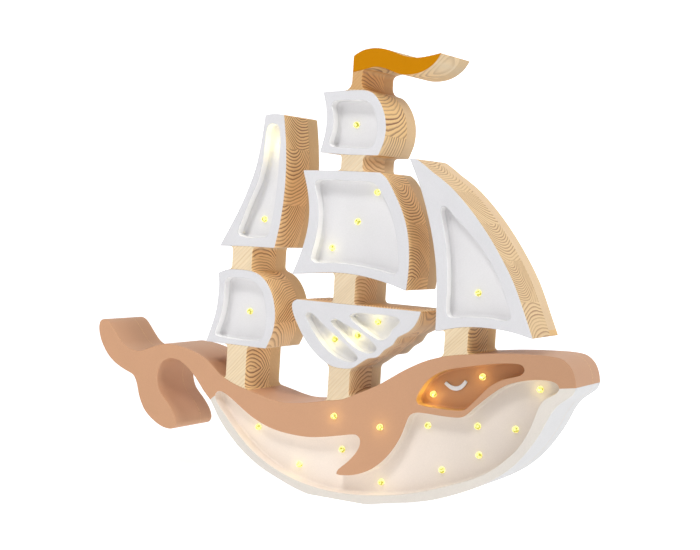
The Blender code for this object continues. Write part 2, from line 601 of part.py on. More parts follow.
def make_power():
    """Battery holder, three AA cells, control board, switch and its button."""
    near, far = CAVITY_DEPTH + GAP, DEPTH - COVER_THICK - 2 * GAP
    holder = block("battery_holder", HOLDER_X, HOLDER_Z, near, far)
    inside = block("holder_inside", (HOLDER_X[0] + HOLDER_WALL, HOLDER_X[1] - HOLDER_WALL),
                   (HOLDER_Z[0] + HOLDER_WALL, HOLDER_Z[1] - HOLDER_WALL),
                   near + HOLDER_WALL, far + PAST, True)
    cut(holder, inside)
    paint(holder, "black_holder_plastic", (0.02, 0.02, 0.02), 0.5)
    middle_x, middle_z = sum(HOLDER_X) / 2, sum(HOLDER_Z) / 2
    for number, row in enumerate((-1, 0, 1), 1):
        cell(f"battery_cell_{number}", middle_x, middle_z + row * CELL_PITCH,
             near + HOLDER_WALL + GAP + CELL_RADIUS, way=1 if number % 2 else -1)
    board = block("control_board", BOARD_X, BOARD_Z, near, near + BOARD_THICK)
    chip = block("driver_chip", (46, 54), (24, 29), near + 1, near + 3.4, True)
    resistors = [block(f"resistor_{number}", (58, 61.2), (24 + 4 * number, 25.6 + 4 * number),
                       near + 1, near + 2.3, True) for number in range(2)]
    join(board, chip, *resistors)
    paint(board, "green_circuit_board", (0.02, 0.2, 0.07), 0.4)
    switch = block("switch_body", (BUTTON_AT[0] - SWITCH_HALF, BUTTON_AT[0] + SWITCH_HALF),
                   (BUTTON_AT[1] - SWITCH_HALF, BUTTON_AT[1] + SWITCH_HALF),
                   near + BOARD_THICK + GAP, SWITCH_END)
    paint(switch, "black_switch_plastic", (0.03, 0.03, 0.03), 0.4)
    stem_end = SWITCH_END + GAP + BUTTON_TRAVEL
    lip_end = DEPTH - COVER_THICK - GAP
    lip_start = lip_end - BUTTON_LIP
    button = turned("power_button", [
        (0, stem_end), (BUTTON_STEM, stem_end), (BUTTON_STEM, lip_start),
        (BUTTON_RADIUS + BUTTON_LIP, lip_start), (BUTTON_RADIUS + BUTTON_LIP, lip_end),
        (BUTTON_RADIUS, lip_end), (BUTTON_RADIUS, BUTTON_END - BUTTON_CHAMFER),
        (BUTTON_RADIUS - BUTTON_CHAMFER, BUTTON_END), (0, BUTTON_END)], BUTTON_AT, 24)
    paint(button, "red_button_plastic", (0.6, 0.04, 0.03), 0.35)


def cell(name, x, z, depth, way):
    """An AA cell that lies along x, with its positive nipple at the end that way points to."""
    mesh = bpy.data.meshes.new(name)
    half = CELL_LENGTH / 2
    nipple, shoulder, bevel = CELL_NIPPLE[0], half - CELL_NIPPLE[1], 0.5
    profile = [(0, half), (nipple, half), (nipple, shoulder), (CELL_RADIUS - bevel, shoulder),
               (CELL_RADIUS, shoulder - bevel), (CELL_RADIUS, -half), (0, -half)]
    points = [(radius * MM, 0, along * MM) for radius, along in profile]
    mesh.from_pydata(points, [(i, i + 1) for i in range(len(points) - 1)], [])
    obj = bpy.data.objects.new(name, mesh)
    obj.rotation_euler = (0, way * math.pi / 2, 0)
    obj.location = (x * MM, behind(depth), z * MM)
    bpy.context.scene.collection.objects.link(obj)
    screw = obj.modifiers.new("turn", "SCREW")
    screw.steps = screw.render_steps = 16
    screw.use_merge_vertices = True
    screw.merge_threshold = 0.01 * MM
    place(obj, False)
    paint(obj, "cell_wrapper", (0.05, 0.05, 0.06), 0.3, metallic=0.6)


clear_scene()
PARTS = new_collection("whale_ship_lamp")
CUTTERS = new_collection("cutters")
wire_channels = make_channels()
make_hull(wire_channels)
make_sails(wire_channels)
make_masts(wire_channels)
make_pennant()
make_wires()
make_cover()
make_power()
for piece in PARTS.objects:
    if any(modifier.type == "BOOLEAN" for modifier in piece.modifiers):
        merge_flat_faces(piece)
bpy.context.view_layer.update()
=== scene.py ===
"""Looks of the wooden ship night lamp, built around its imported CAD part.

Every outline is read from the flat faces of the CAD nodes, drawn again as a smooth dense loop, and
built into a closed mesh with softened edges, hollowed pockets and bored holes. Loops are lists of
(x, z) points in millimetres. "Depth" is the distance behind the front face, also in millimetres.
A loop runs anticlockwise round wood and clockwise round a hole, seen from the front.
"""
import math

import bmesh
import bpy
import numpy as np
from mathutils import Matrix, Vector
from mathutils.geometry import delaunay_2d_cdt


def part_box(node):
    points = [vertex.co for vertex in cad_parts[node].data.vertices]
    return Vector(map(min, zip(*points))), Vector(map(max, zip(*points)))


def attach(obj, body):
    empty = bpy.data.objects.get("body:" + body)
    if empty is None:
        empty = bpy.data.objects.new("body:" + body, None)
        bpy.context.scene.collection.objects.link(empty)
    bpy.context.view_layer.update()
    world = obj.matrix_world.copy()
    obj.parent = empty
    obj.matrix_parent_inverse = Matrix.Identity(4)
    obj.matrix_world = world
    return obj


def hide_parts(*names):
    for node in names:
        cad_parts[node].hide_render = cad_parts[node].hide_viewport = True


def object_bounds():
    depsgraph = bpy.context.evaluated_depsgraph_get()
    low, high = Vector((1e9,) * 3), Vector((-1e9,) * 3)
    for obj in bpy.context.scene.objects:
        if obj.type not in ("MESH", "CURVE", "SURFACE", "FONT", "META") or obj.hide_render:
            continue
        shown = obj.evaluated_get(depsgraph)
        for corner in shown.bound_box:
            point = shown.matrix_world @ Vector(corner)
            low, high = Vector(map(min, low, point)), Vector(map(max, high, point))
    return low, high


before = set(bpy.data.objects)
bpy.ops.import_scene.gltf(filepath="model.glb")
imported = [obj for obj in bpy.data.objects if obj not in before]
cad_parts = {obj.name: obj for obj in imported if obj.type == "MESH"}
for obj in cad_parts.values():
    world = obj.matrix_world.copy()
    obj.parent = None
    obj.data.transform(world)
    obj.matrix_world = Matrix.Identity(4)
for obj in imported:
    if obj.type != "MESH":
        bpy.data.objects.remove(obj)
CAD_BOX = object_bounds()

MM = 0.001
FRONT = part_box("hull_front")[0].y / MM          # world y of the front face
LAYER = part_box("hull_front")[1].y / MM - FRONT  # thickness of the front layer of wood
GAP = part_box("hull_rear")[0].y / MM - FRONT - LAYER
REAR = LAYER + 0.04                             # start of the rear layer, closer than in the CAD model
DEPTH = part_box("hull_rear")[1].y / MM - FRONT   # front face to back face
LED_PROUD = FRONT - CAD_BOX[0][1] / MM          # height of a dome above the floor around it
LOW = (CAD_BOX[0][0] / MM, CAD_BOX[0][2] / MM)
HIGH = (CAD_BOX[1][0] / MM, CAD_BOX[1][2] / MM)

TOUCHING = 0.001             # closer than this, a point is on a loop
STEP = 1.6                   # spacing of points along an outline
CORNER = math.radians(46)    # a sharper turn than this is a corner
SOFT_CORNER = math.radians(20)
EDGE = 0.55                  # rounding of the sanded edges
JOINT = 0.12                 # rounding of the edges at a glue line
CORNER_REACH = 1.3           # how far the sanded corners are rounded along each side
FLARE = 4.0                  # reach of the fillets where a mast meets a sail or the deck
STAFF_FLARE = 8.0            # the same at the foot of the pennant's staff
STAFF_WIDTH = 15             # a post narrower than this is the staff
POST_REACH = 3.0             # how far the posts are drawn into what they meet, before it is cut away
SLIVER = 5                   # area in mm2 of a scrap that such a cut leaves
SAIL_FILLET = 3.0            # fillet between a pocket's wall and its floor
HULL_FILLET = 2.0
ABOVE_BASE = (28, 1.5)       # a place on the hull's white rim
ROUND = [1 - math.cos(math.radians(a)) for a in (22, 45, 67, 90)]  # steps across a rounded edge
LED_RADIUS = 2.5
FLANGE_RADIUS = 2.9
BORE_PLAY = 0.25             # radius of an LED's bore beyond its body
SCREW_RADIUS = 1.3
PILOT_RADIUS = 1.6
PILOT_DEPTH = 12.5
HEAD_RADIUS = 2.8
GLOW = 0.0001                # watts that each LED throws on the wood around it, more near a wall
NEAR_GLOW = {"led_fan_sail_1": 0.0013, "led_fan_sail_2": 0.0013, "led_fan_sail_3": 0.0013,
             "led_main_sail_1": 0.0006, "led_mizzen_upper_sail_2": 0.0030, "led_hull_front_1": 0.0012,
             "led_hull_front_2": 0.0012, "led_hull_front_3": 0.0004, "led_hull_front_4": 0.0004,
             "led_hull_front_6": 0.0004, "led_hull_front_12": 0.0014, "led_hull_front_13": 0.0032,
             "led_hull_front_14": 0.0018}
STAVE = 34.0                 # width of the staves that the panels are glued from

SAILS = ["mizzen_upper_sail", "mizzen_lower_sail", "top_sail", "main_sail", "fan_sail", "jib_sail"]
MASTS = {"mizzen_mast": ["mizzen_lower_sail", "mizzen_upper_sail"],
         "main_mast": ["fan_sail", "main_sail", "top_sail"],
         "fore_mast": ["jib_sail"]}


# ---------------------------------------------------------------- outlines

def area(loop):
    points = np.asarray(loop)
    ahead = np.roll(points, -1, axis=0)
    return float((points[:, 0] * ahead[:, 1] - ahead[:, 0] * points[:, 1]).sum() / 2)


def outlines(polygons):
    """Closed loops round a set of polygons, along the sides that only one polygon has."""
    edges = set()
    for points in polygons:
        for a, b in zip(points, points[1:] + points[:1]):
            if (b, a) in edges:
                edges.remove((b, a))
            else:
                edges.add((a, b))
    follow = {}
    for a, b in sorted(edges):
        follow.setdefault(a, []).append(b)
    loops = []
    while follow:
        start = next(iter(follow))
        loop = [start]
        while True:
            ahead = follow[loop[-1]]
            step = ahead.pop()
            if not ahead:
                del follow[loop[-1]]
            if step == start:
                break
            loop.append(step)
        loops.append(loop)
    return loops


def plane_loops(node, depth):
    """Outlines of a CAD node's flat faces at one depth, wood on the left of each, largest first."""
    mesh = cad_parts[node].data
    level = (FRONT + depth) * MM
    polygons = []
    for face in mesh.polygons:
        corners = [mesh.vertices[i].co for i in face.vertices]
        if any(abs(corner.y - level) > 0.01 * MM for corner in corners):
            continue
        points = [(round(c.x / MM, 3), round(c.z / MM, 3)) for c in corners]
        polygons.append(points[::-1] if face.normal.y > 0 else points)
    return sorted(outlines(polygons), key=lambda loop: -abs(area(loop)))


def sides_of(points):
    """The sides of a closed loop before and after each point."""
    return points - np.roll(points, 1, axis=0), np.roll(points, -1, axis=0) - points


def turning(points):
    """Signed turn at each point of a closed loop."""
    into, out = sides_of(points)
    return np.arctan2(into[:, 0] * out[:, 1] - into[:, 1] * out[:, 0], (into * out).sum(1))


def spline(p0, p1, p2, p3, share):
    """Point on a centripetal Catmull-Rom curve between p1 and p2."""
    t1 = max(math.dist(p0, p1), 1e-6) ** 0.5
    t2 = t1 + math.dist(p1, p2) ** 0.5
    t3 = t2 + max(math.dist(p2, p3), 1e-6) ** 0.5
    t = t1 + (t2 - t1) * share
    a1 = p0 + (p1 - p0) * (t / t1)
    a2 = p1 + (p2 - p1) * ((t - t1) / (t2 - t1))
    a3 = p2 + (p3 - p2) * ((t - t2) / (t3 - t2))
    b1 = a1 + (a2 - a1) * (t / t2)
    b2 = a2 + (a3 - a2) * ((t - t1) / (t3 - t1))
    return b1 + (b2 - b1) * ((t - t1) / (t2 - t1))


def refined(loop):
    """The loop as a dense smooth curve whose corners stay sharp, kept inside the CAD model's box."""
    points = np.asarray(loop, float)
    turn = turning(points)
    before, after = (np.hypot(*side.T) for side in sides_of(points))
    uneven = np.maximum(before, after) / np.minimum(before, after)
    sharp = (abs(turn) > CORNER) | ((abs(turn) > SOFT_CORNER) & (uneven > 2.5))
    count = len(points)
    dense = []
    for i in range(count):
        p0, p1, p2, p3 = (points[(i + k) % count] for k in (-1, 0, 1, 2))
        if sharp[i]:
            p0 = 2 * p1 - p2
        if sharp[(i + 1) % count]:
            p3 = 2 * p2 - p1
        steps = max(1, round(after[i] / STEP))
        dense += [spline(p0, p1, p2, p3, k / steps) for k in range(steps)]
    return np.clip(dense, LOW, HIGH)


def trimmed(path, start, end):
    """A path without its first and last stretch."""
    along = np.concatenate([[0], np.cumsum(np.hypot(*np.diff(path, axis=0).T))])
    at = [start, *(s for s in along if start + 0.05 < s < along[-1] - end - 0.05), along[-1] - end]
    return np.stack([np.interp(at, along, path[:, k]) for k in (0, 1)], axis=1)


def softened(loop, reach_of, pieces=7):
    """The loop with each corner drawn as a short curve that starts reach_of(point, turn) before it."""
    points = np.asarray(loop, float)
    turn = turning(points)
    turned = [i for i in range(len(points)) if abs(turn[i]) > SOFT_CORNER * 1.6]
    reach = {i: reach_of(points[i], turn[i]) for i in turned}
    corners = [i for i in turned if reach[i] > 0]
    if not corners:
        return points
    stretches = []
    for i, j in zip(corners, corners[1:] + corners[:1]):
        path = points[np.arange(i, (j if j > i else j + len(points)) + 1) % len(points)]
        limit = 0.45 * float(np.hypot(*np.diff(path, axis=0).T).sum())
        stretches.append(trimmed(path, min(reach[i], limit), min(reach[j], limit)))
    result = []
    for k in range(len(corners)):
        start, corner, end = stretches[k - 1][-1], points[corners[k]], stretches[k][0]
        for step in range(1, pieces):
            t = step / pieces
            result.append((1 - t) ** 2 * start + 2 * t * (1 - t) * corner + t ** 2 * end)
        result += list(stretches[k])
    return np.asarray(result)


def sanded(loop):
    return softened(loop, lambda point, turn: CORNER_REACH)


def inside(points, loop):
    """Which points lie inside a loop."""
    a = np.asarray(loop)
    b = np.roll(a, -1, axis=0)
    x, z = np.asarray(points)[:, 0:1], np.asarray(points)[:, 1:2]
    spans = (a[:, 1] > z) != (b[:, 1] > z)
    rise = np.where(b[:, 1] == a[:, 1], 1, b[:, 1] - a[:, 1])
    crossing = a[:, 0] + (z - a[:, 1]) / rise * (b[:, 0] - a[:, 0])
    return (spans & (x < crossing)).sum(1) % 2 == 1


def between(points, loops):
    """Which points lie inside the first loop and outside the others."""
    found = inside(points, loops[0])
    for hole in loops[1:]:
        found &= ~inside(points, hole)
    return found


def triangulated(loops, paths=(), extra=()):
    """Constrained triangles over closed loops, open paths and loose points."""
    points, edges = [], []
    for line, is_closed in [(loop, True) for loop in loops] + [(path, False) for path in paths]:
        base = len(points)
        points += [Vector(p) for p in line]
        count = len(line)
        edges += [(base + i, base + (i + 1) % count) for i in range(count if is_closed else count - 1)]
    points += [Vector(p) for p in extra]
    found = delaunay_2d_cdt(points, edges, [], 0, 1e-4)
    places, links, faces, _, link_sources, _ = found
    fixed = {frozenset(link) for link, source in zip(links, link_sources) if source}
    return np.array([tuple(p) for p in places]), [tuple(f) for f in faces], fixed


def combined(loops, keep):
    """Outlines of the region whose points pass keep(a flag for each loop), largest first."""
    places, faces, _ = triangulated(loops)
    middles = places[np.array(faces)].mean(1)
    flags = np.stack([inside(middles, loop) for loop in loops], axis=1)
    kept = [face for face, flag in zip(faces, flags) if keep(flag)]
    made = [places[loop] for loop in outlines(kept)]
    return sorted((loop for loop in made if abs(area(loop)) > 2), key=lambda loop: -abs(area(loop)))


def circle(centre, radius, sides=32):
    """A clockwise circle, the edge of a hole."""
    angles = -math.tau * np.arange(sides) / sides
    return centre + radius * np.stack([np.cos(angles), np.sin(angles)], axis=1)


def bore_at(centre):
    return circle(centre, LED_RADIUS + BORE_PLAY)


def rounded_box(low, high, radius):
    """An anticlockwise rectangle with round corners."""
    points = []
    (left, bottom), (right, top) = low + radius, high - radius
    for x, z, start in ((right, top, 0), (left, top, 90), (left, bottom, 180), (right, bottom, 270)):
        for step in range(7):
            angle = math.radians(start + 15 * step)
            points.append((x + radius * math.cos(angle), z + radius * math.sin(angle)))
    return np.array(points)


# ---------------------------------------------------------------- solids

def distance_to(points, loops):
    """Distance of each point to the nearest of some closed loops."""
    best = np.full(len(points), np.inf)
    for loop in loops:
        a = np.asarray(loop)
        side = np.roll(a, -1, axis=0) - a
        square = np.maximum((side ** 2).sum(1), 1e-12)
        for start in range(0, len(points), 400):
            here = points[start:start + 400, None, :]
            share = np.clip(((here - a) * side).sum(2) / square, 0, 1)
            gap = np.hypot(*np.moveaxis(here - a - share[..., None] * side, 2, 0)).min(1)
            best[start:start + 400] = np.minimum(best[start:start + 400], gap)
    return best


def quarter(distance, radius):
    """Height of a quarter circle at a distance from its foot."""
    return np.sqrt(np.maximum(radius ** 2 - (radius - np.minimum(distance, radius)) ** 2, 0))


def shifted(loop, by):
    """The loop moved to its left, into the wood."""
    points = np.asarray(loop)
    into, out = (side / np.hypot(*side.T)[:, None] for side in sides_of(points))
    normal = np.stack([-(into + out)[:, 1], (into + out)[:, 0]], axis=1)
    normal /= np.maximum(np.hypot(*normal.T), 1e-6)[:, None]
    cosine = np.maximum((normal * np.stack([-into[:, 1], into[:, 0]], axis=1)).sum(1), 0.5)
    return points + normal * (by / cosine)[:, None]


def painted_mesh(name, materials):
    mesh = bpy.data.meshes.new(name)
    for material in materials:
        mesh.materials.append(material)
    return mesh


def linked(name, data):
    """A new object in the scene."""
    obj = bpy.data.objects.new(name, data)
    bpy.context.scene.collection.objects.link(obj)
    return obj


class Solid:
    """A closed mesh gathered from walls between loops and caps over them."""

    def __init__(self, materials):
        self.points = []
        self.faces = []
        self.marks = []
        self.materials = materials

    def add(self, points, faces, marks):
        base = len(self.points)
        self.points += points
        self.faces += [tuple(base + i for i in face) for face in faces]
        self.marks += marks

    def wall(self, near, near_depth, far, far_depth, mark):
        """A wall from one loop to another with as many points.

        A depth is one number or one for each point, and mark is one number or one for each side.
        """
        count = len(near)
        points = [(x, y, z) for (x, z), y in zip(near, np.broadcast_to(near_depth, count))]
        points += [(x, far_depth, z) for x, z in far]
        faces = [(i, count + i, count + (i + 1) % count, (i + 1) % count) for i in range(count)]
        self.add(points, faces, [mark] * count if isinstance(mark, int) else list(mark))

    def sheath(self, loop, near, far, mark):
        """A straight wall along one loop."""
        self.wall(loop, near, loop, far, mark)

    def cap(self, loops, depth, mark, facing, radius=0.0, way=0, edges=None, seams=(), pick=None):
        """A cap over the region between loops, the outer one first.

        It starts at depth along the edges, all loops unless they are given, and bends forward (way -1)
        or backward (way 1) over a quarter circle of that radius. Seams split it into parts, and
        pick(part of each face, middle of each face) chooses the marks.
        """
        edges = loops if edges is None else edges
        extra = []
        if radius:
            for edge in edges:
                for share in ROUND:
                    ring = shifted(edge, share * radius)
                    extra.append(ring[distance_to(ring, edges) > 0.93 * share * radius])
            extra = np.concatenate(extra)
            extra = extra[between(extra, loops)]
        places, faces, fixed = triangulated(loops, seams, extra)
        corners = places[np.array(faces)]
        side, other = corners[:, 1] - corners[:, 0], corners[:, 2] - corners[:, 0]
        areas = abs(side[:, 0] * other[:, 1] - side[:, 1] * other[:, 0])
        is_inside = between(corners.mean(1), loops)
        parts = np.array(split(faces, fixed))
        wanted = set()
        for part in set(parts):
            largest = np.argmax(areas * (parts == part))
            if is_inside[largest] and areas[largest] > TOUCHING:
                wanted.add(part)
        faces = [face for face, part in zip(faces, parts) if part in wanted]
        marks = [mark] * len(faces)
        if seams:
            marks = pick(split(faces, fixed), places[np.array(faces)].mean(1))
        depths = np.full(len(places), depth)
        if radius:
            distance = distance_to(places, edges)
            distance[distance < TOUCHING] = 0
            depths = depth + way * quarter(distance, radius)
        if facing > 0:
            faces = [face[::-1] for face in faces]
        self.add([(x, y, z) for (x, z), y in zip(places, depths)], faces, marks)

    def slab(self, loops, near, far, near_edge, far_edge, side, face):
        """A plate with rounded edges. Only its front has the holes that loops lists after the outline."""
        outer = loops[0]
        self.cap(loops, near + near_edge, face, -1, near_edge, -1)
        self.sheath(outer, near + near_edge, far - far_edge, side)
        self.cap([outer], far - far_edge, side, 1, far_edge, 1)

    def bore(self, centre, rim, floor, mark):
        """A blind stepped hole for an LED, back to the wire. Its rim can rise above the floor."""
        body, flange = bore_at(centre), circle(centre, FLANGE_RADIUS + 0.4)
        shoulder, end = floor + 4, LAYER - 4
        self.sheath(body, rim, shoulder, mark)
        self.cap([flange[::-1], body], shoulder, mark, 1)
        self.sheath(flange, shoulder, end, mark)
        self.cap([flange[::-1]], end, mark, -1)

    def build(self, name):
        mesh = painted_mesh(name, self.materials)
        world = [(x * MM, (FRONT + depth) * MM, z * MM) for x, depth, z in self.points]
        mesh.from_pydata(world, [], self.faces)
        mesh.polygons.foreach_set("material_index", self.marks)
        work = bmesh.new()
        work.from_mesh(mesh)
        bmesh.ops.remove_doubles(work, verts=work.verts, dist=0.004 * MM)
        loose = [v for v in work.verts if not v.link_faces]
        bmesh.ops.delete(work, geom=loose, context="VERTS")
        work.to_mesh(mesh)
        open_edges = sum(not edge.is_manifold for edge in work.edges)
        work.free()
        if open_edges:
            print(f"OPEN {name}: {open_edges} edges")
        mesh.shade_smooth()
        mesh.set_sharp_from_angle(angle=math.radians(50))
        obj = linked(name, mesh)
        weighted = obj.modifiers.new("flat_faces_stay_flat", "WEIGHTED_NORMAL")
        weighted.keep_sharp = True
        weighted.weight = 60
        return obj


def split(faces, fixed):
    """Number of the connected part that each face is in, where fixed edges part them."""
    owners = {}
    for number, face in enumerate(faces):
        for a, b in zip(face, face[1:] + face[:1]):
            if frozenset((a, b)) not in fixed:
                owners.setdefault(frozenset((a, b)), []).append(number)
    near = [[] for _ in faces]
    for pair in owners.values():
        if len(pair) == 2:
            near[pair[0]].append(pair[1])
            near[pair[1]].append(pair[0])
    part = [-1] * len(faces)
    for start in range(len(faces)):
        if part[start] < 0:
            part[start] = start
            front = [start]
            while front:
                for other in near[front.pop()]:
                    if part[other] < 0:
                        part[other] = start
                        front.append(other)
    return part


def revolved(name, profile, centre, materials, marks=None, sides=40, origin=0.0):
    """A turned piece about a line from front to back. The profile lists (radius, depth from the origin)."""
    work = bmesh.new()
    rings = []
    for radius, depth in profile:
        if radius == 0:
            rings.append([work.verts.new((0, depth * MM, 0))] * sides)
        else:
            ring = circle((0, 0), radius * MM, sides)
            rings.append([work.verts.new((x, depth * MM, z)) for x, z in ring])
    for number, (near, far) in enumerate(zip(rings, rings[1:])):
        for k in range(sides):
            corners = [near[k], near[(k + 1) % sides], far[(k + 1) % sides], far[k]]
            corners = list(dict.fromkeys(corners))
            if len(corners) > 2:
                face = work.faces.new(corners)
                face.material_index = marks[number] if marks else 0
    bmesh.ops.recalc_face_normals(work, faces=work.faces)
    mesh = painted_mesh(name, materials)
    work.to_mesh(mesh)
    work.free()
    mesh.shade_smooth()
    mesh.set_sharp_from_angle(angle=math.radians(42))
    obj = linked(name, mesh)
    obj.location = (centre[0] * MM, (FRONT + origin) * MM, centre[1] * MM)
    return obj


def arc_profile(centre_radius, centre_depth, radius, start, end, steps):
    """Points of a circular arc in a profile. Angle 0 points outwards and 90 to the front."""
    found = []
    for step in range(steps + 1):
        angle = math.radians(start + (end - start) * step / steps)
        outwards = round(centre_radius + radius * math.cos(angle), 9)
        found.append((outwards, centre_depth - radius * math.sin(angle)))
    return found


def middle_of(node):
    """Middle of a CAD node as (x, z)."""
    low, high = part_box(node)
    return (low.x + high.x) / 2 / MM, (low.z + high.z) / 2 / MM


def depths_of(node):
    """Depths at which a CAD node starts and ends."""
    low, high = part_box(node)
    return low.y / MM - FRONT, high.y / MM - FRONT


def stand_for(obj, node, body="lamp"):
    """Puts a piece in the place of a CAD node: attaches it to a body and hides the node."""
    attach(obj, body)
    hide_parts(node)


# ---------------------------------------------------------------- materials

class Tree:
    """Short calls that add shader nodes to a new material."""

    def __init__(self, name):
        self.material = bpy.data.materials.new(name)
        self.material.use_nodes = True
        self.nodes = self.material.node_tree.nodes
        self.links = self.material.node_tree.links
        self.shader = self.nodes["Principled BSDF"]
        self.coordinates = self.node("TexCoord")

    def feed(self, socket, value):
        if isinstance(value, bpy.types.NodeSocket):
            self.links.new(value, socket)
        elif value is not None:
            socket.default_value = value

    def fill(self, node, inputs):
        """Fills inputs by name. An underscore in a name stands for a space."""
        for name, value in inputs.items():
            self.feed(node.inputs[name.replace("_", " ")], value)

    def node(self, kind, **inputs):
        node = self.nodes.new("ShaderNode" + kind)
        self.fill(node, inputs)
        return node

    def math(self, operation, a, b=None):
        node = self.node("Math")
        node.operation = operation
        self.feed(node.inputs[0], a)
        self.feed(node.inputs[1], b)
        return node.outputs[0]

    def times(self, a, b):
        return self.math("MULTIPLY", a, b)

    def plus(self, a, b):
        return self.math("ADD", a, b)

    def minus(self, a, b):
        return self.math("SUBTRACT", a, b)

    def vector(self, operation, a, b=None):
        node = self.node("VectorMath")
        node.operation = operation
        self.feed(node.inputs[0], a)
        self.feed(node.inputs[1], b)
        return node.outputs["Value" if operation in ("DOT_PRODUCT", "LENGTH") else "Vector"]

    def join(self, x, y, z):
        return self.node("CombineXYZ", X=x, Y=y, Z=z).outputs[0]

    def split(self, value):
        return self.node("SeparateXYZ", Vector=value).outputs

    def noise(self, where, scale, detail=2.0, roughness=0.5):
        node = self.node("TexNoise", Vector=where, Scale=scale, Detail=detail, Roughness=roughness)
        return node.outputs["Fac"]

    def random(self, where):
        return self.node("TexWhiteNoise", Vector=where).outputs["Color"]

    def curve(self, value, stops):
        """A ramp of grey values, with stops of (place, grey)."""
        node = self.node("ValToRGB", Fac=value)
        marks = node.color_ramp.elements
        while len(marks) < len(stops):
            marks.new(0.5)
        for mark, (place, grey) in zip(marks, stops):
            mark.position = place
            mark.color = (grey, grey, grey, 1)
        return node.outputs[0]

    def blend(self, share, a, b, mode="MIX"):
        node = self.node("Mix")
        node.data_type = "RGBA"
        node.blend_type = mode
        self.feed(node.inputs["Factor"], share)
        self.feed(node.inputs["A"], (*a, 1) if isinstance(a, tuple) else a)
        self.feed(node.inputs["B"], (*b, 1) if isinstance(b, tuple) else b)
        return node.outputs["Result"]

    def bump(self, height, distance, strength=1.0):
        node = self.node("Bump", Strength=strength, Distance=distance, Height=height)
        self.feed(self.shader.inputs["Normal"], node.outputs[0])

    def tinted(self, colour, tint):
        return self.blend(1.0, colour, tint, "MULTIPLY")

    def set(self, **inputs):
        self.fill(self.shader, inputs)
        return self.material


def millimetres(tree):
    """Object coordinates in millimetres."""
    return tree.vector("MULTIPLY", tree.coordinates.outputs["Object"], (1 / MM,) * 3)


def growth_rings(tree, seed, width=2.1):
    """Wood that is glued up from staves whose grain runs diagonally, up and to the right.

    Each stave has its own pith and its own ring width, so the arcs of neighbours meet in points. The
    rear layer is cut flat, so its rings cross the edges in nearly straight lines. Returns the
    stretched place of the fibres, how far along a year's growth a point lies, the radius that this
    comes from, the layer (0 or 1), and three random values for the stave.
    """
    place = millimetres(tree)
    x, y, z = tree.split(place)
    along = tree.vector("DOT_PRODUCT", place, (0.7071, 0, 0.7071))
    across = tree.vector("DOT_PRODUCT", place, (0.7071, 0, -0.7071))
    layer = tree.math("GREATER_THAN", y, FRONT + LAYER + GAP / 4)
    stave = tree.plus(tree.math("DIVIDE", across, STAVE), tree.times(layer, 0.43))
    stave = tree.plus(stave, 0.37 * seed)
    number = tree.math("FLOOR", stave)
    chance = tree.split(tree.random(tree.join(number, layer, 4.0 + seed)))
    wander = tree.join(tree.times(along, 0.22), across, y)
    large = tree.minus(tree.noise(wander, 0.03, 1.0), 0.5)
    small = tree.minus(tree.noise(wander, 0.14, 2.0), 0.5)
    local = tree.minus(tree.math("FRACT", stave), 0.5)
    aside = tree.minus(chance[0], 0.5)
    far_side = tree.times(tree.math("SIGN", aside), 20.0)
    off_centre = tree.plus(tree.times(aside, 80.0), far_side)
    side = tree.minus(tree.times(local, STAVE), off_centre)
    swing = tree.times(tree.minus(chance[1], 0.5), 44.0)
    front_pith = tree.plus(swing, FRONT + LAYER / 2)
    pith = tree.plus(front_pith, tree.times(layer, 150.0))
    radius = tree.vector("LENGTH", tree.join(side, tree.minus(y, pith), 0.0))
    radius = tree.plus(radius, tree.times(large, 9.0))
    radius = tree.plus(radius, tree.times(small, 0.9))
    width = tree.plus(0.75 * width, tree.times(chance[2], 0.5 * width))
    year = tree.math("FRACT", tree.math("DIVIDE", radius, width))
    return wander, year, radius, layer, chance


